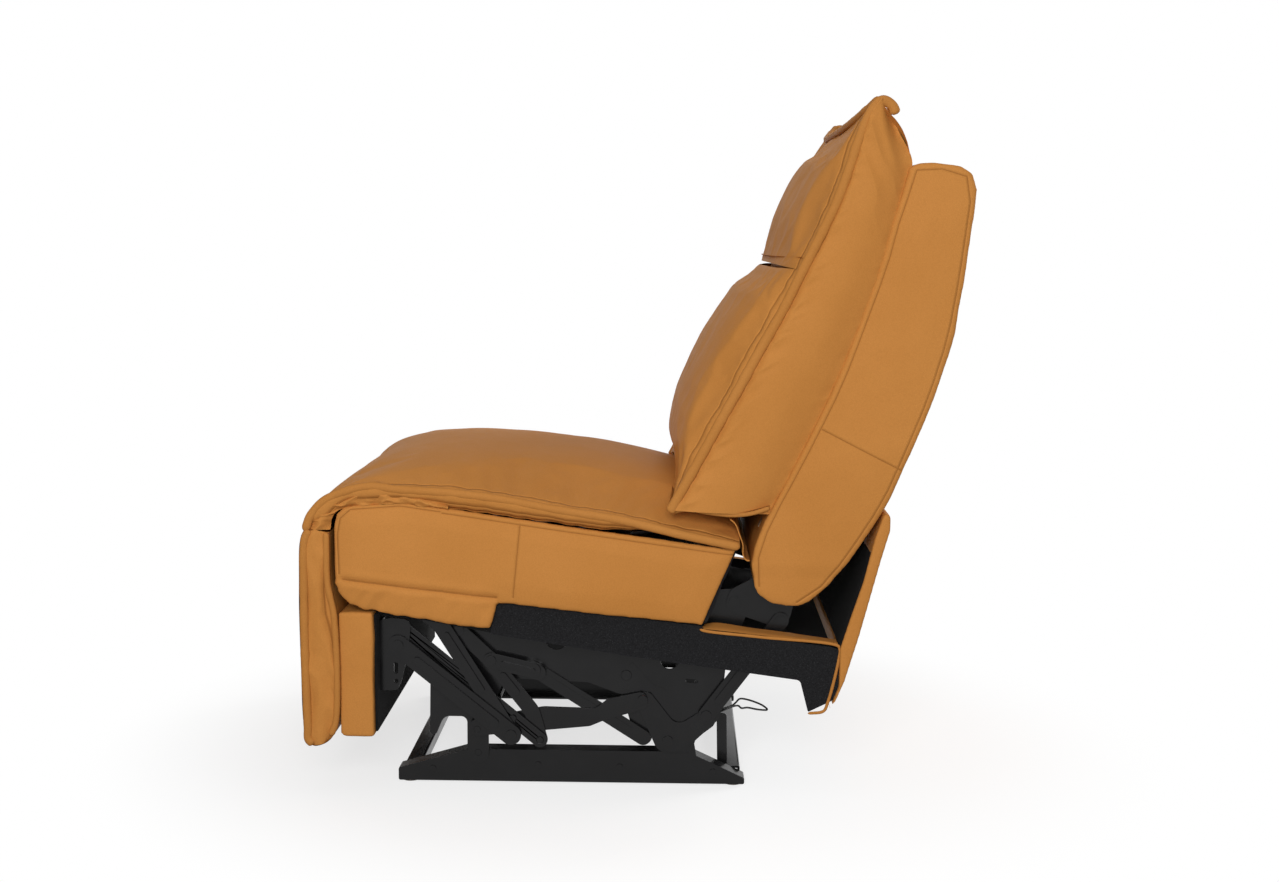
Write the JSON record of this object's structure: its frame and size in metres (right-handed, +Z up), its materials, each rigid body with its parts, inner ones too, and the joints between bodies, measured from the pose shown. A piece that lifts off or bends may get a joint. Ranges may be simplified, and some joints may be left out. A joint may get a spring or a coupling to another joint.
{
  "type": "armless power recliner",
  "caption": "Armless leather recliner seat on an open steel linkage, with a fold-out footrest, a reclining back, a seat that glides forward and a tilting headrest.",
  "frame": {"origin": "centre of the footprint on the floor", "axes": "+X to the sitter's left, -Y forward, +Z up"},
  "size_m": [0.636, 1.017, 1.065],
  "materials": {
    "leather": "semi-gloss tan, fine grain",
    "black_steel": "gloss black",
    "felt": "matt nonwoven",
    "plywood": "raw",
    "dark_board": "matt black",
    "spring_wire": "plain",
    "webbing": "woven",
    "glide": "matt"
  },
  "bodies": {
    "base": {"base_rail_left": "black_steel", "base_rail_right": "black_steel", "base_front_crossbar": "black_steel", "base_rear_crossbar": "black_steel", "floor_glides": "glide", "base_pivot_pins": "black_steel"},
    "front_swing": {"front_swing_plate_left": "black_steel", "front_swing_plate_right": "black_steel", "swing_cross_tube": "black_steel"},
    "rear_swing": {"rear_swing_link_left": "black_steel", "rear_swing_link_right": "black_steel"},
    "tie": {"tie_link_left": "black_steel", "tie_link_right": "black_steel"},
    "seat": {"seat_plate_left": "black_steel", "seat_plate_right": "black_steel", "seat_side_rail_left": "plywood", "seat_side_rail_right": "plywood", "seat_side_panel_left": "leather", "seat_side_panel_right": "leather", "felt_cover_left": "felt", "felt_cover_right": "felt", "seat_batten_left": "plywood", "seat_batten_right": "plywood", "seat_pivot_pins": "black_steel", "seat_front_rail": "plywood", "seat_rear_rail": "plywood", "seat_rear_cloth": "felt", "seat_springs": "spring_wire", "seat_cushion": "leather"},
    "front_footrest_link": {"front_footrest_link_left": "black_steel", "front_footrest_link_right": "black_steel"},
    "rear_footrest_link": {"rear_footrest_link_left": "black_steel", "rear_footrest_link_right": "black_steel"},
    "outer_footrest_link": {"outer_footrest_link_left": "black_steel", "outer_footrest_link_right": "black_steel"},
    "inner_footrest_link": {"inner_footrest_link_left": "black_steel", "inner_footrest_link_right": "black_steel"},
    "drive_link": {"drive_link_left": "black_steel", "drive_link_right": "black_steel"},
    "drive_crank": {"drive_crank_left": "black_steel", "drive_crank_right": "black_steel", "drive_tube": "black_steel"},
    "footrest": {"footrest_bracket_left": "black_steel", "footrest_bracket_right": "black_steel", "footrest_box": "leather", "footrest_board": "dark_board", "footrest_pad": "leather"},
    "recline_crank": {"recline_crank_left": "black_steel", "recline_crank_right": "black_steel"},
    "recline_link": {"recline_link_left": "black_steel", "recline_link_right": "black_steel"},
    "back": {"back_bracket_left": "black_steel", "back_bracket_right": "black_steel", "back_shell": "leather", "back_frame": "plywood", "back_webbing": "webbing", "back_cushion": "leather"},
    "headrest": {"headrest_cushion": "leather"},
    "flap": {"rear_flap": "leather", "rear_flap_board": "dark_board"}
  },
  "joints": [
    {"name": "front_swing_pivot", "type": "hinge", "parent": "base", "child": "front_swing", "pos_m": [0, -0.239, 0.05], "axis": [1, 0, 0], "range_deg": [0, 32.1]},
    {"name": "seat_on_front_swing", "type": "hinge", "parent": "front_swing", "child": "seat", "pos_m": [0, -0.197, 0.196], "axis": [1, 0, 0], "range_deg": [-32.1, 0]},
    {"name": "rear_swing_pivot", "type": "hinge", "parent": "base", "child": "rear_swing", "pos_m": [0, 0.089, 0.067], "axis": [1, 0, 0], "range_deg": [0, 32.1]},
    {"name": "tie_pivot", "type": "hinge", "parent": "front_swing", "child": "tie", "pos_m": [0, -0.239, 0.0918], "axis": [1, 0, 0], "range_deg": [-28.76, 0]},
    {"name": "footrest_swing", "type": "hinge", "parent": "seat", "child": "front_footrest_link", "pos_m": [0, -0.309, 0.287], "axis": [1, 0, 0], "range_deg": [-97, 0]},
    {"name": "rear_footrest_pivot", "type": "hinge", "parent": "seat", "child": "rear_footrest_link", "pos_m": [0, -0.2665, 0.252], "axis": [1, 0, 0], "range_deg": [-97, 0]},
    {"name": "outer_footrest_pivot", "type": "hinge", "parent": "front_footrest_link", "child": "outer_footrest_link", "pos_m": [0, -0.184, 0.088], "axis": [1, 0, 0], "range_deg": [0, 97]},
    {"name": "inner_footrest_pivot", "type": "hinge", "parent": "front_footrest_link", "child": "inner_footrest_link", "pos_m": [0, -0.1815, 0.113], "axis": [1, 0, 0], "range_deg": [0, 97]},
    {"name": "footrest_tilt", "type": "hinge", "parent": "outer_footrest_link", "child": "footrest", "pos_m": [0, -0.36, 0.23], "axis": [1, 0, 0], "range_deg": [-88, 0]},
    {"name": "drive_link_pivot", "type": "hinge", "parent": "rear_footrest_link", "child": "drive_link", "pos_m": [0, -0.216, 0.205], "axis": [1, 0, 0], "range_deg": [0, 101.41]},
    {"name": "drive_tube_turn", "type": "hinge", "parent": "seat", "child": "drive_crank", "pos_m": [0, -0.004, 0.18], "axis": [1, 0, 0], "range_deg": [-55.7, 0]},
    {"name": "back_recline", "type": "hinge", "parent": "seat", "child": "back", "pos_m": [0, 0.164, 0.301], "axis": [1, 0, 0], "range_deg": [-30, 0]},
    {"name": "recline_crank_pivot", "type": "hinge", "parent": "seat", "child": "recline_crank", "pos_m": [0, 0.062, 0.075], "axis": [1, 0, 0], "range_deg": [-43.92, 0]},
    {"name": "recline_link_pivot", "type": "hinge", "parent": "recline_crank", "child": "recline_link", "pos_m": [0, 0.122, 0.118], "axis": [1, 0, 0], "range_deg": [0, 56.8]},
    {"name": "flap_hinge", "type": "hinge", "parent": "seat", "child": "flap", "pos_m": [0, 0.306, 0.1595], "axis": [1, 0, 0], "range_deg": [-30, 0]},
    {"name": "headrest_tilt", "type": "hinge", "parent": "back", "child": "headrest", "pos_m": [0, 0.208, 0.821], "axis": [1, 0, 0], "range_deg": [0, 30]}
  ],
  "couplings": [
    {"joint": "rear_footrest_pivot", "follows": "footrest_swing", "ratio": 1},
    {"joint": "outer_footrest_pivot", "follows": "footrest_swing", "ratio": -1},
    {"joint": "inner_footrest_pivot", "follows": "footrest_swing", "ratio": -1},
    {"joint": "footrest_tilt", "follows": "footrest_swing", "ratio": 0.90722},
    {"joint": "drive_link_pivot", "follows": "footrest_swing", "ratio": -1.0455},
    {"joint": "drive_tube_turn", "follows": "footrest_swing", "ratio": 0.57428},
    {"joint": "front_swing_pivot", "follows": "back_recline", "ratio": -1.0699},
    {"joint": "seat_on_front_swing", "follows": "back_recline", "ratio": 1.0699},
    {"joint": "rear_swing_pivot", "follows": "back_recline", "ratio": -1.0699},
    {"joint": "tie_pivot", "follows": "back_recline", "ratio": 0.95867},
    {"joint": "recline_crank_pivot", "follows": "back_recline", "ratio": 1.464},
    {"joint": "recline_link_pivot", "follows": "back_recline", "ratio": -1.8933},
    {"joint": "flap_hinge", "follows": "back_recline", "ratio": 1}
  ]
}
